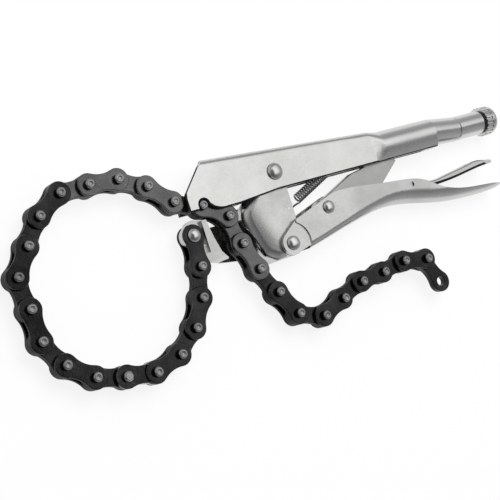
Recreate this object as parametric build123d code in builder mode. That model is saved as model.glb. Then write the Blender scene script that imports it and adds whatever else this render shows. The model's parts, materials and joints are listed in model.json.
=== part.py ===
from build123d import *
from math import asin, atan2, cos, hypot, pi, radians, sin, sqrt
import os

# A locking chain clamp lying on its side. X runs along the upper handle towards its adjusting knob,
# Y runs from the lever up to the handle's spine, and Z stands up from the surface that it lies on.
# Sketch coordinates are measured from the main rivet, in the middle plane of the tool.

# Chain
pitch = 15.875
plate_radius = 5.9
plate_waist = 4.3
outer_plate = 2.0
inner_plate = 4.0
plate_gap = 0.1
chain_pin_radius = 2.54
chain_pin_stand = 6.8
pin_chamfer = 0.7
running_gap = 0.08
first_heading = -95
turns_at_pins = [-12, -16, -18, -23, -25, -7, -22, -22, -28, 3, -41, -3, -19, -30, -5, -23, -17, 23,
                 -13, -46, 8, 6, 5, 40, 40, 0, -16, 4, -18, -56]
notch_link_count = 19
offset_link_count = 6

# Upper handle: a folded channel that ends in a round grip
sheet = 2.3
channel_gap = 0.5
notch_ahead = 46.6
notch_below = 7.2
notch_gap = 0.26
notch_slant = 45
hook_drop = 2.2
hook_width = 6.4
brow_width = 8.5
brow_rise = 8.2
brow_share = 0.6
nose_setback = 7.0
spine_ahead = 41.5
spine_height = 15.5
spine_fall = 6.9
spine_run = 107.5
fold_radius = 3.5
lip_depth = 11.4
lip_ahead = 33.0
lip_shares = (0.43, 0.85)
belly_depth = 9.4
belly_ahead = 26.0
flat_length = 67.0
blend_length = 9.0
lip_end = 114.0
grip_end = 132.0
grip_radius = 7.85
grip_middle = -0.2
grip_foot = 5.0
grip_end_radius = 7.2
grip_drop = 1.8

# Threaded collar and adjusting screw in the end of the grip
collar_radius = 6.9
collar_neck_radius = 6.3
collar_neck = 2.0
collar_length = 20.6
collar_inside = 16.0
collar_fit = 0.03
screw_radius = 3.8
knob_radius = 8.5
knob_length = 9.2
knob_crown = 3.4
knob_gap = 1.4
knurl_band = 4.6
knurl_depth = 0.7
knurl_count = 20

# Lower jaw
jaw_thickness = 8.8
jaw_boss_radius = 8.8
rivet_drop = 38.8
rivet_back = 2.4
jaw_heel_radius = 6.3
jaw_back = 5.9
recess_gap = 3.0
jaw_round = 4.6
jaw_floor = 2.0
jaw_floor_gap = 0.4
deep_gap = 1.8
lug_thickness = 3.8
lug_radius = 8.0
arm_gap = 0.6
arm_height = 4.2
brow_shares = (0.72, 0.26)
front_shares = [(0.93, 0.36), (1.0, 0.53), (0.94, 0.71), (0.84, 0.92), (0.72, 1.07)]
toe_shares = [(0.45, 1.17), (0.15, 1.16)]
back_shares = (0.26, 0.62)
floor_shares = (0.8, 0.65, 1.06)
lug_middle_shares = (0.28, 0.28)
lug_end_share = 0.7
lug_foot_share = -0.9
lug_neck_shares = (1.28, 0.76)
arm_shares = [(1.16, 0.78), (1.24, 0.16), (1.36, -0.51), (1.6, -1.45), (1.94, -1.93), (1.9, -2.01),
              (1.38, -1.85), (1.2, -1.6)]
arm_foot_share = -1.29
arm_floor_shares = [(1.1, 0.3), (2.1, -2.1), (1.3, -1.6)]
spring_pin_radius = 1.0
spring_pin_inset = 2.6
spring_pin_drop = 20.6
spring_slot = 2.6

# Rivets
main_rivet_radius = 3.2
main_head_radius = 4.5
main_head_height = 1.9
jaw_rivet_radius = 2.7
jaw_head_radius = 3.8
toggle_rivet_radius = 2.5
toggle_head_radius = 3.5
small_head_height = 1.5
rivet_fit = 0.03
anchor_head_radius = 3.6
anchor_head_height = 1.7

# Lever
lever_sheet = 2.2
ear_gap = 0.2
ear_radius = 6.2
ear_shares = [(-0.62, 0.78), (0.79, 1.74), (2.58, 2.28), (2.58, -0.35), (1.85, -0.52), (0, -1)]
joggle = 0.8
joggle_radius = 11.2
lever_length = 153.2
lever_rise = 20.0
lever_fold = 7.2
lever_tip_half_width = 8.6
flare_share = 0.7
lever_top_shares = [(0.227, 1.0), (0.346, 0.965), (0.435, 0.88), (0.546, 0.8), (0.643, 0.61),
                    (0.694, 0.37), (0.75, 0.2), (0.86, 0.06), (1.0, -0.05)]
lever_belly_shares = [(0.035, -0.27), (0.1, -0.21), (0.165, -0.105), (0.258, 0.04), (0.351, 0.165),
                      (0.462, 0.235), (0.572, 0.14), (0.677, -0.02), (0.785, -0.125), (0.902, -0.165),
                      (1.0, -0.12)]
lever_fold_shares = [0.5, 0.5, 0.52, 0.6, 0.72, 0.88, 1.0, 1.0, 1.0, 1.05, 1.05]
lever_cut_shares = [(1.1, -0.05), (1.1, -2), (-0.1, -2), (-0.1, 0.25)]

# Toggle link
toggle_arm_x = 28.0
toggle_arm_y = 13.0
toggle_thickness = 4.4
toggle_eye_radius = 5.0
toggle_length = 55.7
toggle_angle = 23.95
toggle_shares = [(0, 0.085), (0.12, 0.068), (0.515, 0.054), (0.69, 0.008), (0.706, 0.032),
                 (0.763, 0.085), (1.0, 0.085), (1.03, -0.08), (1.063, -0.176), (0.778, -0.239),
                 (0.68, -0.257), (0.56, -0.174), (0.12, -0.085), (0, -0.085)]
screw_clearance = 2.6
screw_point = 2.0

# Release lever
release_x = 85.0
release_y = -26.5
release_pin_radius = 1.5
release_eye_radius = 3.6
release_width = 9.6
release_sheet = 1.6
release_length = 64.5
release_height = 6.4
release_top_shares = [(-0.217, 0.009), (-0.05, 0.05), (0.08, 0.03), (0.257, -0.014), (0.448, 0.002),
                      (0.695, 0.033), (0.795, 0.048), (0.887, 0.043), (1.0, 0.019)]
release_belly_shares = [(1.0, -0.006), (0.797, -0.019), (0.518, -0.05), (0.274, -0.059), (0.06, -0.056),
                        (-0.217, -0.028)]

# Return spring
spring_wire = 1.1
spring_coil_radius = 2.3
spring_pitch = 1.7
spring_turns = 18
spring_lead = 10.0
spring_gap = 0.25
tab_x = 51.0
tab_y = -0.6
tab_thickness = 1.6
tab_width = 5.0
tab_hole = 0.95
tab_hook = 1.7
tab_margin = 1.0

overrun = 5.0

# What follows from the sizes above
outer_face = inner_plate / 2 + plate_gap + outer_plate
channel_half = outer_face + channel_gap
wall_face = channel_half + sheet
jaw_face = jaw_thickness / 2
jaw_bottom = -(chain_pin_stand + jaw_floor_gap + jaw_floor)
mid_z = -jaw_bottom
notch_x = -notch_ahead
notch_y = -notch_below
jaw_rivet_x = -rivet_back
jaw_rivet_y = -rivet_drop
toggle_x = jaw_rivet_x + toggle_arm_x
toggle_y = jaw_rivet_y + toggle_arm_y
eye_x = toggle_x + toggle_length * cos(radians(toggle_angle))
eye_y = toggle_y + toggle_length * sin(radians(toggle_angle))
ear_inner = jaw_face + ear_gap
ear_outer = ear_inner + lever_sheet
lever_half = ear_outer + joggle
knob_start = grip_end + collar_length + knob_gap
knob_end = knob_start + knob_length

# Chain pins, counted from the jaw, worked out both ways from the pin that sits in the notch
headings = [first_heading]
for turn in turns_at_pins:
    headings.append(headings[-1] + turn)
link_count = len(headings)
steps = [(pitch * cos(radians(h)), pitch * sin(radians(h))) for h in headings]
start_x = notch_x - sum(step[0] for step in steps[:notch_link_count])
start_y = notch_y - sum(step[1] for step in steps[:notch_link_count])
pins = [(start_x, start_y)]
for step in steps:
    pins.append((pins[-1][0] + step[0], pins[-1][1] + step[1]))

# The jaw reaches ahead as far as the chain's free end lets it
jaw_length = -(pins[notch_link_count + 1][0] + plate_radius + recess_gap)

# The origin is under the middle of the whole tool
x_low = min(pin[0] for pin in pins) - plate_radius
y_low = min(pin[1] for pin in pins) - plate_radius
y_high = max(pin[1] for pin in pins) + plate_radius
main_x = -(x_low + knob_end) / 2
main_y = -(y_low + y_high) / 2


def level(height=0):
    """The sketch plane at a height above the tool's middle plane."""
    return Plane(origin=(main_x, main_y, mid_z + height))


def across(x, y=0):
    """A plane square to the handle, at a distance behind the main rivet."""
    return Plane(origin=(main_x + x, main_y + y, mid_z), x_dir=(0, 0, -1), z_dir=(1, 0, 0))


def disc(x, y, radius, mode=Mode.ADD):
    """A circle in the sketch, by the place of its middle."""
    with Locations((x, y)):
        Circle(radius, mode=mode)


def post(x, y, radius, low, high, mode=Mode.ADD):
    """A round bar in the part, from one height to another."""
    with BuildSketch(level(low)) as end:
        disc(x, y, radius)
    extrude(end.sketch, amount=high - low, mode=mode)


def head(x, y, face, radius, height):
    """A domed rivet head, a slice of a ball, that stands on a wall above or below the middle."""
    ball = (radius ** 2 + height ** 2) / (2 * height)
    half_way = asin(radius / ball) / 2
    top = height if face > 0 else -height
    halfway_share = 1 - ball * (1 - cos(half_way)) / height
    upright = Plane(origin=(main_x + x, main_y + y, mid_z + face), x_dir=(1, 0, 0), z_dir=(0, -1, 0))
    with BuildSketch(upright) as side:
        with BuildLine():
            Line((0, 0), (radius, 0))
            ThreePointArc((radius, 0), (ball * sin(half_way), top * halfway_share), (0, top))
            Line((0, top), (0, 0))
        make_face()
    revolve(side.sketch, Axis((main_x + x, main_y + y, 0), (0, 0, 1)))


def rivet(x, y, radius, face, head_radius, head_height):
    """A rivet through both walls, with a domed head on each."""
    post(x, y, radius, -face, face)
    for side_of in (-1, 1):
        head(x, y, side_of * face, head_radius, head_height)


# Upper handle
def spine_top(x):
    """Height of the spine's outside at a distance behind the main rivet."""
    return spine_height - spine_fall * (x + spine_ahead) / spine_run


grip_start = flat_length + blend_length
slant = radians(notch_slant)
front = -(notch_ahead + 2 * hook_width)
bore = grip_end_radius - sheet
tube_radius = grip_radius - running_gap
notch_radius = chain_pin_radius + notch_gap
nose_y = notch_y + brow_share * brow_rise
brow_x = notch_x - brow_width
brow_slope = (brow_x + spine_ahead) / (notch_y + brow_rise - spine_top(-spine_ahead))


def channel(x, half_width, top, corner, bottom):
    """One section of the channel, with a rounded spine."""
    bend = corner * (1 - cos(radians(45)))
    with BuildSketch(across(x)) as section:
        with BuildLine():
            Polyline((-half_width, top - corner), (-half_width, bottom),
                     (half_width, bottom), (half_width, top - corner))
            ThreePointArc((half_width, top - corner), (half_width - bend, top - bend),
                          (half_width - corner, top))
            Line((half_width - corner, top), (corner - half_width, top))
            ThreePointArc((corner - half_width, top), (bend - half_width, top - bend),
                          (-half_width, top - corner))
        make_face()
    return section.sketch


def pipe(x, radius, foot):
    """One section of the grip: round on top, its sides drawn in towards the slot underneath."""
    bend = radius * cos(radians(45))
    top = grip_middle + radius
    with BuildSketch(across(x)) as section:
        with BuildLine():
            TangentArc((-radius, grip_middle), (-foot, -belly_depth), tangent=(0, -1))
            Line((-foot, -belly_depth), (foot, -belly_depth))
            TangentArc((radius, grip_middle), (foot, -belly_depth), tangent=(0, -1))
            ThreePointArc((radius, grip_middle), (bend, grip_middle + bend), (running_gap, top))
            Line((running_gap, top), (-running_gap, top))
            ThreePointArc((-running_gap, top), (-bend, grip_middle + bend), (-radius, grip_middle))
        make_face()
    return section.sketch


def ring(x, drop, radius):
    """A round section of the grip."""
    with BuildSketch(across(x, -drop)) as section:
        Circle(radius)
    return section.sketch


def mitre(height):
    """The space ahead of the nose at one height, which lies further back towards the far wall."""
    back = nose_setback * (wall_face - height) / (2 * wall_face)
    foot = brow_x + brow_slope * (nose_y - notch_y - brow_rise) + back
    top_y = spine_height + overrun
    top = brow_x + brow_slope * (top_y - notch_y - brow_rise) + back
    with BuildSketch(level(height)) as space:
        with BuildLine():
            Polyline((foot, nose_y), (top, top_y), (2 * front, top_y), (2 * front, nose_y), close=True)
        make_face()
    return space.sketch


def notch_outline(reach):
    """The lower edge of the walls, from the nose over the hook and notch to the belly."""
    right_x = notch_x + notch_radius
    foot_x = right_x + hook_drop / sin(slant) * cos(slant)
    foot_y = notch_y - hook_drop
    nose_x = notch_x - hook_width - notch_radius
    round_x = foot_x - lip_shares[0] * (foot_x + lip_ahead)
    round_y = foot_y - lip_shares[1] * (foot_y + lip_depth)
    Polyline((-spine_ahead, spine_top(-spine_ahead)), (brow_x, notch_y + brow_rise),
             (nose_x, nose_y), (nose_x, notch_y - hook_drop),
             (notch_x - notch_radius, notch_y - hook_drop), (notch_x - notch_radius, notch_y))
    ThreePointArc((notch_x - notch_radius, notch_y), (notch_x, notch_y + notch_radius),
                  (right_x, notch_y))
    Line((right_x, notch_y), (foot_x, foot_y))
    ThreePointArc((foot_x, foot_y), (round_x, round_y), (-lip_ahead, -lip_depth))
    Polyline((-lip_ahead, -lip_depth), (-belly_ahead, -lip_depth), (0, -belly_depth),
             (lip_end, -belly_depth), (lip_end, -2 * grip_radius),
             (reach, -2 * grip_radius), (reach, spine_height), (-spine_ahead, spine_height + overrun),
             (-spine_ahead, spine_top(-spine_ahead)))


with BuildPart() as handle_body:
    deep = -2 * grip_radius
    slot_end = lip_end - grip_radius
    loft([channel(front, wall_face, spine_top(front), fold_radius, deep),
          channel(flat_length, wall_face, spine_top(flat_length), fold_radius, deep)], ruled=True)
    loft([channel(flat_length, wall_face, spine_top(flat_length), fold_radius, -belly_depth),
          pipe(grip_start, grip_radius, grip_foot)], ruled=True)
    loft([pipe(grip_start, grip_radius, grip_foot), pipe(lip_end, grip_radius, grip_foot)], ruled=True)
    extrude(ring(slot_end, -grip_middle, tube_radius), amount=grip_radius)
    loft([ring(lip_end, -grip_middle, tube_radius), ring(grip_end, grip_drop, grip_end_radius)])
    with BuildSketch(level()):
        with BuildLine():
            notch_outline(grip_end)
        make_face()
    extrude(amount=2 * grip_radius, both=True, mode=Mode.INTERSECT)
    loft([mitre(-2 * wall_face), mitre(2 * wall_face)], ruled=True, mode=Mode.SUBTRACT)
    inner_front = spine_top(front) - sheet
    inner_flat = spine_top(flat_length) - sheet
    inner_corner = fold_radius - sheet
    loft([channel(front - overrun, channel_half, inner_front, inner_corner, 2 * deep),
          channel(flat_length, channel_half, inner_flat, inner_corner, 2 * deep)],
         ruled=True, mode=Mode.SUBTRACT)
    loft([channel(flat_length, channel_half, inner_flat, inner_corner, 2 * deep),
          pipe(grip_start, grip_radius - sheet, grip_foot - sheet)], ruled=True, mode=Mode.SUBTRACT)
    loft([pipe(grip_start, grip_radius - sheet, grip_foot - sheet),
          pipe(slot_end, grip_radius - sheet, grip_foot - sheet)], ruled=True, mode=Mode.SUBTRACT)
    extrude(ring(slot_end - grip_radius, grip_drop, bore), amount=2 * grip_end, mode=Mode.SUBTRACT)
    post(0, 0, main_rivet_radius + rivet_fit, -2 * wall_face, 2 * wall_face, mode=Mode.SUBTRACT)
    tab_front = tab_x - tab_hook - tab_margin
    tab_back = tab_x + tab_width / 2
    with BuildSketch(level(-tab_thickness / 2)) as tab:
        with BuildLine():
            Polyline((tab_front, tab_y - tab_width / 2), (tab_back, tab_y - tab_width / 2),
                     (tab_back, spine_top(tab_x) - sheet / 2), (tab_front, spine_top(tab_x) - sheet / 2),
                     close=True)
        make_face()
        disc(tab_x, tab_y, tab_hole, Mode.SUBTRACT)
    extrude(tab.sketch, amount=tab_thickness)
handle_body.part.label = "handle_body"
export_step(handle_body.part, "parts/handle_body.step")

# Threaded collar in the end of the grip
with BuildPart() as threaded_collar:
    with BuildSketch(across(grip_end - collar_inside, -grip_drop)):
        Circle(bore - collar_fit)
    extrude(amount=collar_inside)
    with BuildSketch(across(grip_end, -grip_drop)):
        Circle(collar_neck_radius)
    extrude(amount=collar_neck)
    with BuildSketch(across(grip_end + collar_neck, -grip_drop)):
        Circle(collar_radius)
    extrude(amount=collar_length - collar_neck)
    with BuildSketch(across(0, -grip_drop)):
        Circle(screw_radius + running_gap)
    extrude(amount=2 * grip_end, mode=Mode.SUBTRACT)
threaded_collar.part.label = "threaded_collar"
export_step(threaded_collar.part, "parts/threaded_collar.step")

# Adjusting screw and its knob
screw_tip = eye_x + toggle_eye_radius + screw_clearance
with BuildPart() as adjusting_screw:
    with BuildSketch(across(screw_tip, -grip_drop)):
        Circle(screw_radius)
    extrude(amount=knob_end - screw_tip - knob_crown)
    chamfer(adjusting_screw.edges().filter_by(GeomType.CIRCLE).group_by(Axis.X)[0], screw_point)
    with BuildSketch(across(knob_start, -grip_drop)):
        Circle(knob_radius)
    extrude(amount=knob_length)
    rim = adjusting_screw.edges().filter_by(GeomType.CIRCLE).group_by(Axis.X)[-1]
    fillet(rim, knob_crown)
    with BuildSketch(across(knob_start, -grip_drop)):
        with PolarLocations(knob_radius, knurl_count):
            Circle(knurl_depth)
    extrude(amount=knurl_band, mode=Mode.SUBTRACT)
adjusting_screw.part.label = "adjusting_screw"
export_step(adjusting_screw.part, "parts/adjusting_screw.step")

# Main rivet, on which the lower jaw turns in the handle
with BuildPart() as main_rivet:
    rivet(0, 0, main_rivet_radius, wall_face, main_head_radius, main_head_height)
main_rivet.part.label = "main_rivet"
export_step(main_rivet.part, "parts/main_rivet.step")

# Lower jaw: a forging with a body between the walls, a floor that goes behind the chain's free end,
# an arm beyond it, and a thin lug that carries the chain's first link
anchor_x, anchor_y = pins[0]
arm_left = anchor_x + plate_radius + arm_gap
deep_top = -(lip_depth + deep_gap)
slot_x = jaw_back
hook_x = slot_x - spring_pin_inset
hook_y = -spring_pin_drop


def jaw_point(share_x, share_y):
    """A point of the jaw's outline, in shares of its reach ahead and its depth."""
    return -share_x * jaw_length, -share_y * rivet_drop


def arm_point(share_x, share_y):
    """A point of the arm's outline, in shares of the lug's radius from the anchor pin."""
    return anchor_x + share_x * lug_radius, anchor_y + share_y * lug_radius


def shape(points, low, high, mode=Mode.ADD):
    """A flat piece with straight sides, from one height to another."""
    with BuildSketch(level(low)) as face:
        with BuildLine():
            Polyline(*points, close=True)
        make_face()
    extrude(face.sketch, amount=high - low, mode=mode)


with BuildPart() as lower_jaw:
    nose_points = [jaw_point(*share) for share in front_shares]
    toe_points = [jaw_point(*share) for share in toe_shares]
    with BuildSketch(level(-jaw_face)) as body:
        with BuildLine():
            Spline(nose_points)
            Polyline(nose_points[-1], *toe_points, (jaw_rivet_x + jaw_heel_radius, jaw_rivet_y),
                     *[(slot_x, -share * rivet_drop) for share in reversed(back_shares)],
                     (jaw_boss_radius, 0), (-jaw_boss_radius, 0), jaw_point(*brow_shares), nose_points[0])
        make_face()
    extrude(body.sketch, amount=jaw_thickness)
    near_edges = lower_jaw.edges().group_by(Axis.Z)[-1]
    fillet(near_edges.filter_by_position(Axis.X, main_x - 2 * jaw_length, main_x - jaw_boss_radius / 2),
           jaw_round)
    post(0, 0, jaw_boss_radius, -jaw_face, jaw_face)
    post(jaw_rivet_x, jaw_rivet_y, jaw_heel_radius, -jaw_face, jaw_face)
    shape([(nose_points[0][0], deep_top), *nose_points[1:], toe_points[0],
           (toe_points[0][0], deep_top)], jaw_bottom, -jaw_face)
    floor_ahead, toe_ahead, toe_drop = floor_shares
    shape([arm_point(*arm_floor_shares[0]),
           (-floor_ahead * jaw_length, arm_point(*arm_floor_shares[0])[1]),
           jaw_point(toe_ahead, toe_drop), *[arm_point(*share) for share in arm_floor_shares[1:]]],
          jaw_bottom, jaw_bottom + jaw_floor)
    arm_top = arm_point(*arm_shares[0])[1]
    shape([(arm_left, arm_top), *[arm_point(*share) for share in arm_shares],
           (arm_left, arm_point(0, arm_foot_share)[1])], jaw_bottom, arm_height)
    lug_x, lug_y = arm_point(*lug_middle_shares)
    lug_end_radius = lug_end_share * lug_radius
    post(anchor_x, anchor_y, lug_end_radius, -lug_thickness / 2, lug_thickness / 2)
    post(lug_x, lug_y, lug_end_radius, -lug_thickness / 2, lug_thickness / 2)
    shape([(lug_x, lug_y + lug_end_radius), arm_point(*lug_neck_shares),
           (arm_left + arm_gap, arm_point(0, lug_foot_share)[1]), (anchor_x, anchor_y)],
          -lug_thickness / 2, lug_thickness / 2)
    post(0, 0, main_rivet_radius + running_gap, jaw_bottom, jaw_face, Mode.SUBTRACT)
    post(jaw_rivet_x, jaw_rivet_y, jaw_rivet_radius + running_gap, jaw_bottom, jaw_face, Mode.SUBTRACT)
    post(anchor_x, anchor_y, chain_pin_radius + rivet_fit, jaw_bottom, jaw_face, Mode.SUBTRACT)
    post(hook_x, hook_y, spring_pin_radius + rivet_fit, jaw_bottom, jaw_face, Mode.SUBTRACT)
    shape([(hook_x - spring_slot, hook_y - spring_slot), (slot_x + overrun, hook_y - spring_slot),
           (slot_x + overrun, hook_y + 2 * spring_slot), (hook_x - spring_slot, hook_y + spring_slot)],
          -spring_wire, spring_wire, Mode.SUBTRACT)
lower_jaw.part.label = "lower_jaw"
export_step(lower_jaw.part, "parts/lower_jaw.step")

# Pin that the spring hooks round, in the jaw
with BuildPart() as spring_pin:
    post(hook_x, hook_y, spring_pin_radius, -jaw_face, jaw_face)
spring_pin.part.label = "spring_pin"
export_step(spring_pin.part, "parts/spring_pin.step")

# Anchor pin, which holds the chain's first link on the jaw's lug
with BuildPart() as chain_anchor_pin:
    rivet(anchor_x, anchor_y, chain_pin_radius, outer_face, anchor_head_radius, anchor_head_height)
chain_anchor_pin.part.label = "chain_anchor_pin"
export_step(chain_anchor_pin.part, "parts/chain_anchor_pin.step")

# Rivet between the jaw and the lever
with BuildPart() as jaw_rivet:
    rivet(jaw_rivet_x, jaw_rivet_y, jaw_rivet_radius, ear_outer, jaw_head_radius, small_head_height)
jaw_rivet.part.label = "jaw_rivet"
export_step(jaw_rivet.part, "parts/jaw_rivet.step")

# Rivet between the lever and the toggle link
with BuildPart() as toggle_rivet:
    rivet(toggle_x, toggle_y, toggle_rivet_radius, lever_half, toggle_head_radius, small_head_height)
toggle_rivet.part.label = "toggle_rivet"
export_step(toggle_rivet.part, "parts/toggle_rivet.step")


# Lever: a pressed trough with a deep rounded belly, flat ears in front and a flared tip
def lever_point(share_x, share_y):
    """A point of the lever's side view, in shares of its length and rise from the jaw rivet."""
    return jaw_rivet_x + share_x * lever_length, jaw_rivet_y + share_y * lever_rise


def trough(share, fold_share, inset):
    """One section of the lever, drawn in by the thickness of its sheet for the hollow."""
    x, bottom = lever_point(*share)
    flare = max(0, (share[0] - flare_share) / (1 - flare_share))
    half = lever_half + flare * (lever_tip_half_width - lever_half) - inset
    corner = fold_share * lever_fold - inset
    bend = corner * (1 - cos(radians(45)))
    low = bottom + inset
    top = jaw_rivet_y + 2 * lever_rise
    with BuildSketch(across(x)) as section:
        with BuildLine():
            Polyline((-half, low + corner), (-half, top), (half, top), (half, low + corner))
            ThreePointArc((half, low + corner), (half - bend, low + bend), (half - corner, low))
            Line((half - corner, low), (corner - half, low))
            ThreePointArc((corner - half, low), (bend - half, low + bend), (-half, low + corner))
        make_face()
    return section.sketch


with BuildPart() as lever_handle:
    sections = list(zip(lever_belly_shares, lever_fold_shares))
    loft([trough(share, fold_share, 0) for share, fold_share in sections])
    loft([trough(share, fold_share, lever_sheet) for share, fold_share in sections], mode=Mode.SUBTRACT)
    with BuildSketch(level()) as side:
        with BuildLine():
            rim = Spline([lever_point(*share) for share in lever_top_shares])
            Polyline(rim @ 1, *[lever_point(*share) for share in lever_cut_shares], rim @ 0)
        make_face()
    extrude(side.sketch, amount=2 * lever_tip_half_width, both=True, mode=Mode.INTERSECT)
    post(jaw_rivet_x, jaw_rivet_y, joggle_radius, -2 * lever_half, 2 * lever_half, Mode.SUBTRACT)
    ear = [(jaw_rivet_x + a * ear_radius, jaw_rivet_y + b * ear_radius) for a, b in ear_shares]
    for side_of in (-1, 1):
        shape(ear, side_of * ear_inner, side_of * ear_outer)
        post(jaw_rivet_x, jaw_rivet_y, ear_radius, side_of * ear_inner, side_of * ear_outer)
    post(jaw_rivet_x, jaw_rivet_y, jaw_rivet_radius + rivet_fit, -lever_half, lever_half, Mode.SUBTRACT)
    post(toggle_x, toggle_y, toggle_rivet_radius + rivet_fit, -lever_half, lever_half, Mode.SUBTRACT)
    post(release_x, release_y, release_pin_radius + rivet_fit, -lever_half, lever_half, Mode.SUBTRACT)
lever_handle.part.label = "lever_handle"
export_step(lever_handle.part, "parts/lever_handle.step")

# Toggle link: a flat plate from the lever's rivet up to the tip of the adjusting screw
link_plane = Plane(origin=(main_x + toggle_x, main_y + toggle_y, mid_z),
                   x_dir=(cos(radians(toggle_angle)), sin(radians(toggle_angle)), 0), z_dir=(0, 0, 1))
with BuildPart() as toggle_link:
    with BuildSketch(link_plane):
        with BuildLine():
            Polyline(*[(a * toggle_length, b * toggle_length) for a, b in toggle_shares], close=True)
        make_face()
        with Locations((0, 0), (toggle_length, 0)):
            Circle(toggle_eye_radius)
        Circle(toggle_rivet_radius + running_gap, mode=Mode.SUBTRACT)
    extrude(amount=toggle_thickness / 2, both=True)
toggle_link.part.label = "toggle_link"
export_step(toggle_link.part, "parts/toggle_link.step")


# Release lever: a narrow pressed channel that turns on a pin inside the lever
def release_point(share_x, share_y):
    """A point of the release lever's side view, in shares of its length from its pin."""
    return release_x + share_x * release_length, release_y + share_y * release_length


with BuildPart() as release_lever:
    with BuildSketch(level()):
        with BuildLine():
            back = Spline([release_point(*share) for share in release_top_shares])
            belly = Spline([release_point(*share) for share in release_belly_shares])
            Line(back @ 1, belly @ 0)
            Line(belly @ 1, back @ 0)
        make_face()
        disc(release_x, release_y, release_eye_radius)
    extrude(amount=release_width / 2, both=True)
    with BuildSketch(level()):
        with BuildLine():
            roof = Spline([(x, y - release_sheet) for x, y in
                           [release_point(*share) for share in release_top_shares[:-1]]])
            Polyline(roof @ 1, (roof @ 1) - (0, release_height), (roof @ 0) - (0, 3 * release_height),
                     roof @ 0)
        make_face()
    extrude(amount=release_width / 2 - release_sheet, both=True, mode=Mode.SUBTRACT)
    post(release_x, release_y, release_pin_radius + running_gap, -lever_half, lever_half, Mode.SUBTRACT)
release_lever.part.label = "release_lever"
export_step(release_lever.part, "parts/release_lever.step")

# Pin of the release lever, flush with the lever's walls
with BuildPart() as release_pin:
    post(release_x, release_y, release_pin_radius, -lever_half, lever_half)
release_pin.part.label = "release_pin"
export_step(release_pin.part, "parts/release_pin.step")


# Return spring: one wire with a hook at each end, made of arcs that meet smoothly
def biarc(start, start_way, end, end_way):
    """Two arcs that leave one point and reach another in the directions given."""
    chord = end - start
    both_ways = start_way + end_way
    bend = 2 * (1 - start_way.dot(end_way))
    along = chord.dot(both_ways)
    reach = (sqrt(along ** 2 + bend * chord.dot(chord)) - along) / bend
    middle = (start + end + (start_way - end_way) * reach) / 2
    first = TangentArc(start, middle, tangent=start_way)
    TangentArc(middle, end, tangent=first % 1)


jaw_hook = spring_pin_radius + spring_gap + spring_wire / 2
spring_angle = atan2(tab_y - hook_y, tab_x - hook_x)
spring_reach = hypot(tab_x - hook_x, tab_y - hook_y)
spring_plane = Plane(origin=(main_x + hook_x, main_y + hook_y, mid_z),
                     x_dir=(cos(spring_angle), sin(spring_angle), 0), z_dir=(0, 0, 1))


def spring_wire_marks():
    """Places along the wire with its direction there, in the spring's own axes."""
    marks = []
    for quarter in range(4):
        turned = radians(90 * quarter)
        marks.append((Vector(jaw_hook * cos(turned), jaw_hook * sin(turned), 0),
                      Vector(-sin(turned), cos(turned), 0)))
    for half in range(2 * spring_turns + 1):
        side_of = (-1) ** half
        along = spring_lead + half * spring_pitch / 2
        way = Vector(spring_pitch, 0, 2 * pi * spring_coil_radius * side_of).normalized()
        marks.append((Vector(along, -side_of * spring_coil_radius, 0), way))
    tab_start = spring_reach - tab_hook
    for quarter in range(3):
        turned = radians(90 * (quarter - 1))
        marks.append((Vector(tab_start + tab_hook * cos(turned), 0, tab_hook * sin(turned)),
                      Vector(-sin(turned), 0, cos(turned))))
    return marks


with BuildPart() as return_spring:
    with BuildLine() as wire:
        marks = [(spring_plane.from_local_coords(place),
                  spring_plane.from_local_coords(place + way) - spring_plane.from_local_coords(place))
                 for place, way in spring_wire_marks()]
        for (start, start_way), (end, end_way) in zip(marks, marks[1:]):
            biarc(start, start_way, end, end_way)
    with BuildSketch(Plane(origin=marks[0][0], z_dir=marks[0][1])):
        Circle(spring_wire / 2)
    sweep(path=wire.line)
return_spring.part.label = "return_spring"
export_step(return_spring.part, "parts/return_spring.step")
print("gap between the spring's turns", round(spring_pitch - spring_wire, 2), "mm")


# Chain: pairs of outer plates riveted on two pins, single inner plates between them, one link with
# an offset, and a last inner plate whose hole stays open
def link_plane_at(number):
    """The middle plane of a link, from its first pin towards its second."""
    x, y = pins[number - 1]
    way = radians(headings[number - 1])
    return Plane(origin=(main_x + x, main_y + y, mid_z), x_dir=(cos(way), sin(way), 0), z_dir=(0, 0, 1))


waist_arc = (pitch ** 2 / 4 + plate_waist ** 2 - plate_radius ** 2) / (2 * (plate_radius - plate_waist))
lean = plate_radius / (plate_radius + waist_arc)
waist_x = lean * pitch / 2
waist_y = lean * (waist_arc + plate_waist)


def plate_outline():
    """A link plate: two round ends joined by hollow sides."""
    ThreePointArc((waist_x, waist_y), (pitch / 2, plate_waist), (pitch - waist_x, waist_y))
    ThreePointArc((pitch - waist_x, waist_y), (pitch + plate_radius, 0), (pitch - waist_x, -waist_y))
    ThreePointArc((pitch - waist_x, -waist_y), (pitch / 2, -plate_waist), (waist_x, -waist_y))
    ThreePointArc((waist_x, -waist_y), (-plate_radius, 0), (waist_x, waist_y))


def plate(plane, low, high, holes):
    """A link plate between two heights, with holes at some of its pins."""
    with BuildSketch(plane.offset(low)) as face:
        with BuildLine():
            plate_outline()
        make_face()
        for hole in holes:
            disc(hole * pitch, 0, chain_pin_radius + running_gap, Mode.SUBTRACT)
    extrude(face.sketch, amount=high - low)


def chain_pin(plane, end):
    """A chain pin that stands out on both sides, with its rims turned down."""
    with BuildSketch(plane.offset(-chain_pin_stand)) as foot:
        disc(end * pitch, 0, chain_pin_radius)
    extrude(foot.sketch, amount=2 * chain_pin_stand)


def turned_ends(link):
    """The rims of a link's pins."""
    rims = link.edges().filter_by(GeomType.CIRCLE).group_by(Axis.Z)
    chamfer(rims[0] + rims[-1], pin_chamfer)


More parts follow.
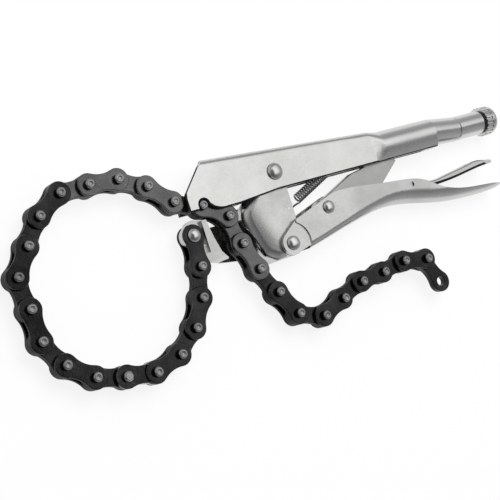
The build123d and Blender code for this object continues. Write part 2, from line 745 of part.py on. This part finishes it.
inner_face = outer_face - outer_plate
for number in range(1, link_count + 1):
    plane = link_plane_at(number)
    outer = number % 2 == (1 if number < offset_link_count else 0)
    with BuildPart() as link:
        if number == offset_link_count:
            plate(plane, -inner_plate / 2, inner_plate / 2, [0])
            with BuildSketch(plane) as far_end:
                disc(pitch, 0, plate_radius + arm_gap)
            extrude(far_end.sketch, amount=inner_plate, both=True, mode=Mode.SUBTRACT)
            with BuildSketch(plane) as fork:
                with BuildLine():
                    plate_outline()
                make_face()
                disc(0, 0, plate_radius + arm_gap, Mode.SUBTRACT)
            extrude(fork.sketch, amount=outer_face, both=True)
            with BuildSketch(plane) as slot:
                disc(pitch, 0, plate_radius + arm_gap)
            extrude(slot.sketch, amount=inner_face, both=True, mode=Mode.SUBTRACT)
            chain_pin(plane, 1)
            turned_ends(link)
        elif outer:
            near_pin = number > 1
            holes = [] if near_pin else [0]
            plate(plane, inner_face, outer_face, holes)
            plate(plane, -outer_face, -inner_face, holes)
            chain_pin(plane, 1)
            if near_pin:
                chain_pin(plane, 0)
            turned_ends(link)
        else:
            plate(plane, -inner_plate / 2, inner_plate / 2, [0, 1])
    name = f"chain_link_{number:02d}"
    link.part.label = name
    export_step(link.part, f"parts/{name}.step")
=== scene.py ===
import json

import bpy
import bmesh
import numpy as np
from mathutils import Matrix, Vector


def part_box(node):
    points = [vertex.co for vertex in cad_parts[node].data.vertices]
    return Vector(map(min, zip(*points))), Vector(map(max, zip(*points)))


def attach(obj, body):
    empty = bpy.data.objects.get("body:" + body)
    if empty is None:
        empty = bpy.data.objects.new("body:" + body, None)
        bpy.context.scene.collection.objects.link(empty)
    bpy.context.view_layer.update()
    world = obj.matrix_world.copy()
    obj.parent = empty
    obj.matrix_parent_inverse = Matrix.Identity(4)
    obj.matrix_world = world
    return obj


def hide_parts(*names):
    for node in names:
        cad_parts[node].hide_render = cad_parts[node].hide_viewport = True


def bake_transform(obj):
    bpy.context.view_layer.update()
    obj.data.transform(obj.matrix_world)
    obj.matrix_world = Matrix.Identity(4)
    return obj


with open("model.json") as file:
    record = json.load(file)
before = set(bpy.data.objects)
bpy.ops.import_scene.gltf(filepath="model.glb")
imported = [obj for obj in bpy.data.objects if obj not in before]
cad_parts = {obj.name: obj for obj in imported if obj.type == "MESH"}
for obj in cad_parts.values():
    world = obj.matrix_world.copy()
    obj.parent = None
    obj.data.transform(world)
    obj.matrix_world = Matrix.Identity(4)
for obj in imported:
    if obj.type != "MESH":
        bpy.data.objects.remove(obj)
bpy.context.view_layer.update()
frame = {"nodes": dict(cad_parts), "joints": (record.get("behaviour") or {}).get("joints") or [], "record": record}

# The view: the clamp lies on a white table and is seen from above its nose. The camera stands where
# the chain's pins and the handle's rivets line up with the photograph, measured from the main rivet.
MM = 0.001
places = {joint["name"]: np.array(joint["pos_m"]) for joint in frame["joints"] if "pos_m" in joint}
main_rivet = places["jaw_pivot"]
to_camera = np.array((-361.4, -56.4, 546.0)) * MM
right_of_view = (0.816, -0.305, 0.491)
up_of_view = (0.244, 0.952, 0.187)
out_of_view = (-0.5245, -0.032, 0.851)
turn = Matrix((right_of_view, up_of_view, out_of_view)).transposed()
view = bpy.data.cameras.new("view")
view.sensor_width = 36
view.lens = 89.25
view.clip_start = 0.01
camera = bpy.data.objects.new("camera", view)
camera.matrix_world = Matrix.Translation(Vector(main_rivet + to_camera)) @ turn.normalized().to_4x4()
bpy.context.scene.collection.objects.link(camera)
bpy.context.scene.camera = camera
bpy.context.scene.view_settings.view_transform = "Standard"


# The table: a wide sheet of white paper that the clamp lies on. It is lit so well that it looks plain
# white, and the clamp still drops a soft shadow on it.
class Wire:
    """A value in a shader: an output of a node, on which plain arithmetic adds Math nodes."""

    def __init__(self, nodes, socket):
        self.nodes = nodes
        self.socket = socket

    def maths(self, operation, *terms):
        return self.nodes.add("ShaderNodeMath", {"operation": operation}, *terms)

    def __add__(self, other):
        return self.maths("ADD", self, other)

    def __sub__(self, other):
        return self.maths("SUBTRACT", self, other)

    def __rsub__(self, other):
        return self.maths("SUBTRACT", other, self)

    def __mul__(self, other):
        return self.maths("MULTIPLY", self, other)

    def clip(self):
        return self.nodes.add("ShaderNodeClamp", {}, self)

    __radd__ = __add__
    __rmul__ = __mul__


class Finish:
    """The nodes of one material or of the world, added one after another."""

    def __init__(self, owner):
        owner.use_nodes = True
        self.tree = owner.node_tree
        self.tree.nodes.clear()

    def put(self, kind, settings, values):
        """Adds a node: its settings first, then the value or the link of each socket.

        A ramp's stops are pairs of a place and a colour, and those of its two ends come first.
        """
        node = self.tree.nodes.new(kind)
        for name, value in settings.items():
            if name == "stops":
                for stop, (place, colour) in zip(node.color_ramp.elements, value):
                    stop.position = place
                    stop.color = colour
                for place, colour in value[2:]:
                    node.color_ramp.elements.new(place).color = colour
            else:
                setattr(node, name, value)
        for key, value in values.items():
            if isinstance(value, Wire):
                self.tree.links.new(value.socket, node.inputs[key])
            else:
                node.inputs[key].default_value = value
        return node

    def add(self, kind, settings, *terms, out=0, **named):
        """Adds a node, with its sockets given in order or by name, and hands on one of its outputs."""
        values = dict(enumerate(terms))
        values.update({key.replace("_", " "): value for key, value in named.items()})
        return Wire(self, self.put(kind, settings, values).outputs[out])

    def mix(self, factor, first, second):
        """The first colour where the factor is 0, the second where it is 1, a blend between."""
        node = self.put("ShaderNodeMix", {"data_type": "RGBA"}, {0: factor, 6: first, 7: second})
        return Wire(self, node.outputs[2])

    def surface(self, shader):
        """Ends the material in a shader."""
        self.put("ShaderNodeOutputMaterial", {}, {0: shader})


def grey(tone):
    """A neutral colour, from 0 for black to 1 for white."""
    return (tone, tone, tone, 1)


def paper(name, colour, lit):
    """White paper: matt, and for its lit share plain white to the camera, in gloss and through glass."""
    material = bpy.data.materials.new(name)
    nodes = Finish(material)
    rays = nodes.put("ShaderNodeLightPath", {}, {})
    seen = (Wire(nodes, rays.outputs["Is Camera Ray"]) + Wire(nodes, rays.outputs["Is Glossy Ray"])
            + Wire(nodes, rays.outputs["Is Transmission Ray"])).clip()
    matt = nodes.add("ShaderNodeBsdfDiffuse", {}, Color=colour)
    glow = nodes.add("ShaderNodeEmission", {}, Color=grey(1))
    nodes.surface(nodes.add("ShaderNodeMixShader", {}, seen * lit, matt, glow))
    return material


table_half = 3.0
table_mesh = bpy.data.meshes.new("table")
table_mesh.from_pydata([(-table_half, -table_half, 0), (table_half, -table_half, 0),
                        (table_half, table_half, 0), (-table_half, table_half, 0)], [], [(0, 1, 2, 3)])
table = bpy.data.objects.new("table", table_mesh)
table.data.materials.append(paper("white_paper", grey(0.93), lit=0.86))
bpy.context.scene.collection.objects.link(table)

# The studio: a pale horizon, a dim room above it with one dark corner, and one long soft light over the
# far end of the handle. Polished steel is bright where it mirrors that light, and grey or dark elsewhere.
world = bpy.data.worlds.new("studio")
bpy.context.scene.world = world
studio = Finish(world)
way = studio.add("ShaderNodeTexCoord", {}, out="Generated")
height = studio.add("ShaderNodeSeparateXYZ", {}, way, out="Z")


def heading(direction):
    """How far a ray goes along a direction: 1 straight along it, 0 across it, -1 against it."""
    return studio.add("ShaderNodeVectorMath", {"operation": "DOT_PRODUCT"}, way, direction, out="Value")


def fade(value, start, end):
    """A soft step from 0 at the start value to 1 at the end value."""
    return studio.add("ShaderNodeMapRange", {"interpolation_type": "SMOOTHSTEP"}, value, start, end, 0, 1)


across_light = heading((-0.208, 0.978, 0))
along_light = heading((0.978, 0.208, 0))
near_side = fade(across_light, -0.30, -0.17)
far_side = fade(across_light, 0.46, 0.24)
lower_side = fade(height, 0.44, 0.91)
upper_side = fade(height, 0.945, 0.905)
nose_side = fade(along_light, 0.0, 0.15)
soft_light = near_side * far_side * lower_side * upper_side * nose_side
fill_light = fade(heading((-0.55, 0.62, 0.56)), 0.45, 0.98)
dark_corner = fade(heading((-0.88, -0.38, 0.28)), 0.84, 0.95)
room = studio.add("ShaderNodeValToRGB", {"stops": [
    (0.0, (0.56, 0.56, 0.57, 1)), (1.0, (0.10, 0.10, 0.103, 1)), (0.16, (0.50, 0.50, 0.51, 1)),
    (0.55, (0.40, 0.40, 0.405, 1)), (0.86, (0.17, 0.17, 0.175, 1))]}, height)
filled = studio.mix(fill_light, room, grey(0.62))
cornered = studio.mix(dark_corner, filled, grey(0.03))
sky = studio.mix(soft_light, cornered, grey(1.46))
studio.put("ShaderNodeOutputWorld", {}, {0: studio.add("ShaderNodeBackground", {}, sky, 1.0)})

# One lamp joins it: a soft square light above the handle's far side, turned to the main rivet. It
# shades the forms and drops the shadow, and steel doesn't mirror it.
softbox = bpy.data.lights.new("over_far_side", "AREA")
softbox.size = 0.9
softbox.energy = 14
softbox_place = Vector((0.15, 0.45, 1.25))
softbox_aim = (Vector(main_rivet) - softbox_place).to_track_quat("-Z", "Y")
softbox_stand = bpy.data.objects.new("over_far_side", softbox)
softbox_stand.matrix_world = Matrix.Translation(softbox_place) @ softbox_aim.to_matrix().to_4x4()
softbox_stand.visible_glossy = False
bpy.context.scene.collection.objects.link(softbox_stand)

# Upper handle: sheet steel folded to an open trough in front and to a round grip behind, plated with
# bright satin nickel. Its walls are cut square, and the cut edges carry painted shade, near black like the
# shadowed gaps along them, so it has two materials: one for its skin and one for the painted shade on its edges.
body_of = {node: body for body, nodes in frame["record"]["behaviour"]["bodies"].items() for node in nodes}
merge_distance = 0.0001 * MM
flat_angle = np.radians(0.5)
sharp_angle = np.radians(32)
skin_slot = 0
# The second slot holds the painted shade: near-black steel on the cut edges.
painted_shade_slot = 1


def plated(name, colour, roughness, grain, cloudy):
    """Satin nickel: long fine polishing marks, faint clouds and softer patches in the gloss.

    A greater grain sets the marks closer, and cloudy is the share by which the clouds darken it.
    """
    material = bpy.data.materials.new(name)
    nodes = Finish(material)
    place = nodes.add("ShaderNodeTexCoord", {}, out="Object")
    along = nodes.add("ShaderNodeMapping", {}, Vector=place, Scale=(60, 900, 900))
    marks = nodes.add("ShaderNodeTexNoise", {}, Vector=along, Scale=grain, Detail=3.0)
    clouds = nodes.add("ShaderNodeTexNoise", {}, Vector=place, Scale=38.0, Detail=4.0, Roughness=0.6)
    spots = nodes.add("ShaderNodeTexNoise", {}, Vector=place, Scale=420.0, Detail=2.0)
    dull = (clouds - 0.42) * 2.2
    tone = nodes.mix(dull.clip() * cloudy, (*colour, 1), (*[c * 0.80 for c in colour], 1))
    rough = roughness + (marks - 0.5) * 0.14 + (clouds - 0.5) * 0.16 + (spots - 0.5) * 0.05
    bump = nodes.add("ShaderNodeBump", {}, Strength=0.05, Distance=0.0002, Height=marks + spots)
    nodes.surface(nodes.add("ShaderNodeBsdfPrincipled", {}, Base_Color=tone, Metallic=1.0,
                            Roughness=rough.clip(), Normal=bump))
    return material


def painted_shade_edge(name):
    """Painted shade for the sheet's cut edges: near-black steel in patches of darker and paler tone."""
    material = bpy.data.materials.new(name)
    nodes = Finish(material)
    place = nodes.add("ShaderNodeTexCoord", {}, out="Object")
    shade_patches = nodes.add("ShaderNodeTexNoise", {}, Vector=place, Scale=260.0, Detail=4.0)
    tone = nodes.mix(((shade_patches - 0.45) * 4).clip(), (0.02, 0.02, 0.021, 1), grey(0.07))
    rough = (0.45 + (shade_patches - 0.5) * 0.4).clip()
    nodes.surface(nodes.add("ShaderNodeBsdfPrincipled", {}, Base_Color=tone, Metallic=0.8, Roughness=rough))
    return material


def new_piece(name, mesh):
    """A piece of the clamp: a mesh that is put into the scene where its points say."""
    piece = bpy.data.objects.new(name, mesh)
    bpy.context.scene.collection.objects.link(piece)
    return piece


def broken_edges(node, width, angle=sharp_angle, shaped=None):
    """The CAD piece with its sharp edges rounded, as tumbling leaves them, in large flat faces.

    The copy's loose triangles are merged, and flat ones joined, before a function may shape it.
    """
    mesh = frame["nodes"][node].data.copy()
    mesh.materials.clear()
    shape = bmesh.new()
    shape.from_mesh(mesh)
    bmesh.ops.remove_doubles(shape, verts=shape.verts, dist=merge_distance)
    bmesh.ops.dissolve_limit(shape, angle_limit=flat_angle, verts=shape.verts, edges=shape.edges)
    if shaped:
        shaped(shape)
    shape.to_mesh(mesh)
    shape.free()
    mesh.name = node + "_finished"
    mesh.shade_smooth()
    piece = new_piece(node + "_finished", mesh)
    rounding = piece.modifiers.new("rounding", "BEVEL")
    rounding.width = width
    rounding.segments = 3
    rounding.limit_method = "ANGLE"
    rounding.angle_limit = angle
    rounding.use_clamp_overlap = True
    flat = piece.modifiers.new("flat_faces", "WEIGHTED_NORMAL")
    flat.weight = 100
    return piece


def assemble(piece, node, slot, *finishes):
    """Gives a piece its materials, and lets it stand for its CAD node on that node's body."""
    for finish in finishes:
        piece.data.materials.append(finish)
    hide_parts(node)
    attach(piece, body_of[node])


def rolled(shape, chosen, width, slot):
    """Rounds the sharp edges that a test on their two ends chooses, and gives them a material slot."""
    edges = [edge for edge in shape.edges if len(edge.link_faces) == 2
             and edge.calc_face_angle() > sharp_angle and chosen(edge.verts[0].co, edge.verts[1].co)]
    bmesh.ops.bevel(shape, geom=edges, offset=width, segments=3, profile=0.5, affect="EDGES",
                    clamp_overlap=False, material=slot)


# Where the handle's cut edges lie: the faces are measured from its middle plane, and the heights and
# lengths from the main rivet.
cut_roll = 0.8 * MM
wall_face = 6.88 * MM
wall_below = 1.1 * MM
rivet_clear = 3.5 * MM
lip_face = 4.9 * MM
lip_below = -9.3 * MM
nose_face = 5.6 * MM
nose_above = 0.9 * MM
nose_before = -41.6 * MM
collar_seat = 113.9 * MM
nose_walls_before = -30 * MM
nose_walls_face = 4.6 * MM


def cut_walls(shape):
    """The handle's walls are cut square at the nose and below, and rolled over a little there.

    Chosen are the edges of the near wall's nose, and of both walls and the grip's lips below, up to the
    collar and clear of the rivet, and they get the painted shade. The walls' front faces get it too.
    """
    x, y, middle = main_rivet

    def cut(a, b):
        half = min(abs(a.z - middle), abs(b.z - middle))
        top = max(a.y, b.y) - y
        wall = half > wall_face and top < wall_below and np.hypot(a.x - x, a.y - y) > rivet_clear
        lip = half > lip_face and top < lip_below
        nose = min(a.z, b.z) - middle > nose_face and min(a.y, b.y) - y > nose_above
        nose = nose and max(a.x, b.x) < x + nose_before
        return nose or (wall or lip) and min(a.x, b.x) < x + collar_seat

    # The chosen edges are rounded and painted near black as shade.
    rolled(shape, cut, cut_roll, painted_shade_slot)
    shape.normal_update()
    for face in shape.faces:
        spot = face.calc_center_median()
        looks_ahead = face.normal.x < -0.3 and abs(face.normal.z) < 0.5
        if looks_ahead and spot.x < x + nose_walls_before and abs(spot.z - middle) > nose_walls_face:
            face.material_index = painted_shade_slot


nickel = plated("satin_nickel", (0.63, 0.63, 0.62), roughness=0.25, grain=4.0, cloudy=0.5)
# Painted shade: the near-black finish on the cut edges, the nose's front faces and the release lever's lips.
painted_shade_steel = painted_shade_edge("cut_edge")
handle = broken_edges("handle_body", 0.3 * MM, shaped=cut_walls)
assemble(handle, "handle_body", "plated_steel", nickel, painted_shade_steel)

# Lower jaw: a steel forging that turns on the main rivet, with the same plating over a coarser skin.
# Its near face is crowned: it falls away towards the front edge.
forged = plated("forged_nickel", (0.58, 0.58, 0.57), roughness=0.29, grain=6.0, cloudy=0.8)
to_front = Vector((-0.93, -0.37, 0))
front_edge = 28.5 * MM
crown_reach = 12 * MM
crown_fall = 1.0 * MM
crown_steps = 9
half_thickness = 3.8 * MM


def crowned(shape):
    """Lowers the near face by the square of the distance past a line, as a share of the crown's reach.

    The fall is in proportion to the height above the middle plane, and the face is first cut across in
    even steps, so that it bends between them.
    """
    middle = Vector((*main_rivet[:2], 0))
    for step in np.linspace(0, 1, crown_steps):
        cut = middle + to_front * (front_edge - crown_reach * (1 - step))
        bmesh.ops.bisect_plane(shape, geom=shape.verts[:] + shape.edges[:] + shape.faces[:],
                               plane_co=cut, plane_no=to_front)
    for vertex in shape.verts:
        past = (vertex.co - middle).dot(to_front) - front_edge + crown_reach
        above = vertex.co.z - main_rivet[2]
        if 0 < past < 1.2 * crown_reach and above > 0:
            vertex.co.z -= crown_fall * (past / crown_reach) ** 2 * above / half_thickness


assemble(broken_edges("lower_jaw", 0.4 * MM, shaped=crowned), "lower_jaw", "plated_steel", forged)

# Lever and toggle link: the lever is a trough pressed from sheet, with two ears for the jaw's rivet. The
# toggle link is punched from plate, lies between the lever's walls, and is plated but not polished.
dull_nickel = plated("dull_nickel", (0.50, 0.50, 0.49), roughness=0.38, grain=9.0, cloudy=0.7)
assemble(broken_edges("lever_handle", 0.4 * MM), "lever_handle", "plated_steel", forged)
assemble(broken_edges("toggle_link", 0.4 * MM), "toggle_link", "plated_steel", dull_nickel)

# Release lever: a narrow trough of folded sheet inside the lever, pressed to unlock the clamp. Its back
# is folded round and its lips are cut square and painted near black as shade, between the pin's eyes and the tip.
trough_face = 4.79 * MM
trough_start = 5 * MM
trough_end = 61 * MM
middle_slope = 0.075
middle_drop = 3.7 * MM
back_roll = 1.1 * MM
lip_roll = 1.4 * MM


def pressed(shape):
    """Rounds the trough's back and lips, and paints the lips dark as shade: they lie above and below a sloping
    line through its walls.
    """
    x, y, middle = places["release_pivot"]

    def along(a, b, low):
        half = min(abs(a.z - middle), abs(b.z - middle))
        on = half > trough_face and x + trough_start < min(a.x, b.x) and max(a.x, b.x) < x + trough_end
        line = middle_slope * ((a.x + b.x) / 2 - x) - middle_drop
        return on and low == ((a.y + b.y) / 2 - y < line)

    rolled(shape, lambda a, b: along(a, b, False), back_roll, skin_slot)
    # The lips get the painted shade of the cut edges.
    rolled(shape, lambda a, b: along(a, b, True), lip_roll, painted_shade_slot)


release = broken_edges("release_lever", 0.3 * MM, shaped=pressed)
assemble(release, "release_lever", "plated_steel", forged, painted_shade_steel)

# Collar, adjusting screw and pins: turned steel. The plated collar closes the grip's end and the screw
# runs in it; the release pin is painted near black as shade, like the cut edges round it.
# The release pin takes the painted shade of the cut edges.
for node, width, finish in (("threaded_collar", 0.3, nickel), ("adjusting_screw", 0.3, nickel),
                            ("release_pin", 0.2, painted_shade_steel), ("spring_pin", 0.1, nickel)):
    assemble(broken_edges(node, width * MM), node, "plated_steel", finish)


# Rivets: turned steel, with their heads upset to low domes. Under each head's rim is a fine groove,
# where the head stands just off the wall.
rim_height = 0.55 * MM
rivet_count = 40
pin_count = 28


def tube_faces(rings, count):
    """Quads between rings of points, each ring closed on itself, joined one to the next."""
    ring, step = np.meshgrid(np.arange(rings - 1), np.arange(count), indexing="ij")
    after = (step + 1) % count
    quads = np.stack([ring * count + step, ring * count + after,
                      (ring + 1) * count + after, (ring + 1) * count + step], -1)
    return quads.reshape(-1, 4).tolist()


def capped(rings, count):
    """The faces of a tube of rings, closed by one flat face at each end."""
    last = (rings - 1) * count
    return tube_faces(rings, count) + [list(range(count))[::-1], list(range(last, last + count))]


def turned(profile, centre, count):
    """A turned bar: (radius, height) pairs carried round an upright axis, closed at both ends."""
    angle = np.linspace(0, 2 * np.pi, count, endpoint=False)
    radius, height = np.array(profile).T
    points = np.stack([centre[0] + radius[:, None] * np.cos(angle),
                       centre[1] + radius[:, None] * np.sin(angle),
                       np.repeat(height[:, None], count, 1)], -1).reshape(-1, 3)
    return points, capped(len(profile), count)


def domed(shank, wall, rim, crown):
    """Half a rivet's profile: the shank, a groove under the rim, then a quarter of an ellipse."""
    bend = np.radians(np.linspace(0, 84, 9))
    dome = np.column_stack([rim * np.cos(bend), wall + rim_height + (crown - rim_height) * np.sin(bend)])
    return [(shank, 0.2 * wall), (shank, wall), (rim - 0.55 * MM, wall), (rim - 0.5 * MM, wall + 0.3 * MM),
            (rim - 0.1 * MM, wall + 0.36 * MM), *dome.tolist()]


def smooth_mesh(name, points, faces):
    """Points and faces as a smoothly shaded mesh."""
    mesh = bpy.data.meshes.new(name)
    mesh.from_pydata(points.tolist(), [], faces)
    mesh.shade_smooth()
    return mesh


rivet_steel = plated("rivet_steel", (0.60, 0.60, 0.59), roughness=0.16, grain=5.0, cloudy=0.4)
for node, hinge, shank, rim, crown in (
        ("main_rivet", "jaw_pivot", 3.2, 4.5, 1.9), ("jaw_rivet", "lever_pivot", 2.7, 3.8, 1.5),
        ("toggle_rivet", "toggle_pivot", 2.5, 3.5, 1.5), ("chain_anchor_pin", "hinge_01", 2.54, 3.6, 1.7)):
    low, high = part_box(node)
    wall = (high[2] - low[2]) / 2 - crown * MM
    half = domed(shank * MM, wall, rim * MM, crown * MM)
    x, y, middle = places[hinge]
    profile = [(r, middle - z) for r, z in half[::-1]] + [(r, middle + z) for r, z in half]
    mesh = smooth_mesh(node + "_turned", *turned(profile, (x, y), rivet_count))
    assemble(new_piece(node + "_turned", mesh), node, "plated_steel", rivet_steel)


# Return spring: a coil of drawn steel wire, hooked round the pin in the jaw and through a tab in the
# handle. It is drawn out when the jaw is shut.
wire = frame["nodes"]["return_spring"].data.copy()
shape = bmesh.new()
shape.from_mesh(wire)
bmesh.ops.remove_doubles(shape, verts=shape.verts, dist=merge_distance)
shape.to_mesh(wire)
shape.free()
wire.shade_smooth()
wire.materials.clear()
wire.materials.append(plated("spring_wire", (0.38, 0.38, 0.385), roughness=0.30, grain=6.0, cloudy=0.3))
spring = new_piece("return_spring_wire", wire)
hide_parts("return_spring")
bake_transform(spring)


# Chain: plates punched from steel and blackened, held on pins whose ends are peened over. The plates'
# edges are rolled by tumbling, and the black is rubbed thin there.
pitch = 15.875 * MM
end_radius = 5.9 * MM
waist_half = 4.3 * MM
edge_round = 0.55 * MM
outer_low = 2.1 * MM
outer_high = 4.1 * MM
inner_half = 2.0 * MM
pin_shoulder = 5.8 * MM
arc_steps = 9
outline_count = 6 * arc_steps


def plate_outline(inset):
    """Outline of a link plate: round ends joined by hollow sides, all drawn in by an inset.

    The waist is an arc of a large circle that touches both ends, so an offset outline is arcs too.
    """
    end = end_radius - inset
    waist = waist_half - inset
    hollow = (pitch ** 2 / 4 + waist ** 2 - end ** 2) / (2 * (end - waist))
    touch = np.arctan2(hollow + waist, pitch / 2)
    round_end = np.linspace(touch - np.pi, np.pi - touch, 2 * arc_steps)
    lean = np.linspace(touch - np.pi / 2, np.pi / 2 - touch, arc_steps + 2)[1:-1]
    far = np.stack([pitch + end * np.cos(round_end), end * np.sin(round_end)], 1)
    top = np.stack([pitch / 2 - hollow * np.sin(lean), hollow + waist - hollow * np.cos(lean)], 1)
    return np.concatenate([far, top, (pitch, 0) - far, (pitch, 0) - top])


def plate_shape(low, high):
    """A plate: its outline at heights that follow a quarter circle at each rim, closed by two faces.

    Its wear grows up to the rim, and is below 0 on the side between the rims, which is painted dark as shade.
    """
    bend = np.radians((0, 30, 60, 90))
    inset = edge_round * (1 - np.sin(bend))
    rise = edge_round * (1 - np.cos(bend))
    # The last value paints the plate's side between the rims as shade.
    wear = (0, 0.5, 0.9, -0.6)
    insets = np.concatenate([inset, inset[::-1]])
    heights = np.concatenate([low + rise, high - rise[::-1]])
    rings = [np.column_stack([plate_outline(i), np.full(outline_count, h)])
             for i, h in zip(insets, heights)]
    faces = capped(len(rings), outline_count)
    return np.concatenate(rings), faces, np.repeat((*wear, *wear[::-1]), outline_count)


def peened_pin(end):
    """A chain pin: a bar whose ends are peened to a low crown with a dimple in the middle.

    Its wear is 2 on the bare crown, which shows as bright steel, and falls below 0 down its side, which is painted
    dark as shade.
    """
    crown = [(0.5, 6.55), (0.95, 6.62), (1.3, 6.8), (1.8, 6.76), (2.2, 6.52), (2.46, 6.2), (2.54, 5.8)]
    # The last value paints the pin's side as shade.
    wear = [2.0, 2.0, 2.0, 2.0, 1.7, 0.6, -0.6]
    upper = [(r * MM, z * MM) for r, z in crown]
    points, faces = turned([(r, -z) for r, z in upper] + upper[::-1], (end * pitch, 0), pin_count)
    return points, faces, np.repeat(wear + wear[::-1], pin_count)


def gather(shapes):
    """Several shapes as one: their points, faces and values of wear and painted shade one after another."""
    points, faces, wear = zip(*shapes)
    starts = np.cumsum([0] + [len(some) for some in points]).tolist()
    corners = [[start + corner for corner in face] for start, some in zip(starts, faces) for face in some]
    return np.concatenate(points), corners, np.concatenate(wear)


def mark_wear_and_shade(mesh, wear):
    """Keeps a value for each point, for wear above 0 and for painted shade below it, which the black finish reads.
    """
    mesh.attributes.new("wear", "FLOAT", "POINT").data.foreach_set("value", wear)


def blackened(name, low, high, bare):
    """Black oxide on punched steel: a dark skin with oily patches, thin and grey on the worn rims.

    Wear of 0 to 1 bares the steel, above 1 it is a pin's bright end, and below 0 paints a side near black as
    shade.
    """
    material = bpy.data.materials.new(name)
    nodes = Finish(material)
    place = nodes.add("ShaderNodeTexCoord", {}, out="Object")
    oil = nodes.add("ShaderNodeTexNoise", {}, Vector=place, Scale=90.0, Detail=4.0, Roughness=0.65)
    pits = nodes.add("ShaderNodeTexNoise", {}, Vector=place, Scale=900.0, Detail=3.0)
    rub_and_shade = nodes.add("ShaderNodeAttribute", {"attribute_name": "wear"}, out="Fac")
    # Painted shade: the plates' sides and the pins' sides are darkened to near black.
    painted_shade_sides = (rub_and_shade * -1.6).clip()
    worn = (rub_and_shade * 0.8 + (oil - 0.5) * 1.3 + (pits - 0.5) * 0.8 - 0.25).clip()
    skin = nodes.mix(((oil - 0.38) * 2.4).clip(), grey(low), grey(high))
    plain = nodes.mix(worn, skin, grey(bare))
    dark = nodes.mix(painted_shade_sides, plain, grey(0.012))
    pin_end = (rub_and_shade - 1).clip() * ((oil - 0.5) * 2.6 + 0.75).clip()
    tone = nodes.mix(pin_end, dark, grey(0.34))
    rough = (0.21 + (oil - 0.5) * 0.2 + (pits - 0.5) * 0.16 + painted_shade_sides * 0.35).clip()
    bump = nodes.add("ShaderNodeBump", {}, Strength=0.25, Distance=0.0002, Height=pits + oil)
    nodes.surface(nodes.add("ShaderNodeBsdfPrincipled", {}, Base_Color=tone, Metallic=0.9,
                            Roughness=rough, Normal=bump))
    return material


def cad_link(node, middle):
    """The open end link or the offset link: the CAD link with its edges broken, its pin's ends bare."""
    piece = broken_edges(node, 0.45 * MM, np.radians(40))
    corners = np.empty(3 * len(piece.data.vertices))
    piece.data.vertices.foreach_get("co", corners)
    on_pin = np.abs(corners[2::3] - middle) > pin_shoulder
    mark_wear_and_shade(piece.data, np.where(on_pin, 2.0, 0.2))
    return piece


def punched_link(node, parts, start, end):
    """Plates and pins drawn along the x axis, laid from one hinge of the chain to the next."""
    points, faces, wear = gather(parts)
    ahead = (end - start) / np.linalg.norm(end - start)
    side = np.array((-ahead[1], ahead[0], 0))
    points = start + points[:, :1] * ahead + points[:, 1:2] * side + points[:, 2:] * (0, 0, 1)
    mesh = smooth_mesh(node + "_finished", points, faces)
    mark_wear_and_shade(mesh, wear)
    piece = new_piece(node + "_finished", mesh)
    piece.modifiers.new("faces", "WEIGHTED_NORMAL").keep_sharp = True
    return piece


# The links run from the anchor pin round the loop, through the notch and down the tail. They alternate
# between outer and inner ones, and the offset link shifts that by one; those near the notch get a lighter
# copy of the black finish, painted light where the lamp falls on them. The first one turns on the anchor pin,
# so it has one pin of its own, and the last ends in an open hole.
link_count = 31
offset_link = 6
painted_light_links = range(15, 23)
black_steel = blackened("black_oxide", low=0.016, high=0.046, bare=0.17)
# A lighter copy of the black oxide: painted light for the links near the notch.
painted_light_steel = blackened("rubbed_oxide", low=0.085, high=0.16, bare=0.28)
inner_parts = [plate_shape(-inner_half, inner_half)]
outer_parts = [plate_shape(outer_low, outer_high), plate_shape(-outer_high, -outer_low),
               peened_pin(1), peened_pin(0)]
chain_places = [places[f"hinge_{number:02d}"] for number in range(1, link_count + 1)]
chain_places.append(np.array(frame["record"]["mounts"][0]["pos_m"]))
for number in range(1, link_count + 1):
    node = f"chain_link_{number:02d}"
    start, end = chain_places[number - 1:number + 1]
    if number in (offset_link, link_count):
        piece = cad_link(node, start[2])
    elif number == 1:
        piece = punched_link(node, outer_parts[:3], start, end)
    else:
        outer = number % 2 == (1 if number < offset_link else 0)
        piece = punched_link(node, outer_parts if outer else inner_parts, start, end)
    assemble(piece, node, "blackened_steel", painted_light_steel if number in painted_light_links else black_steel)
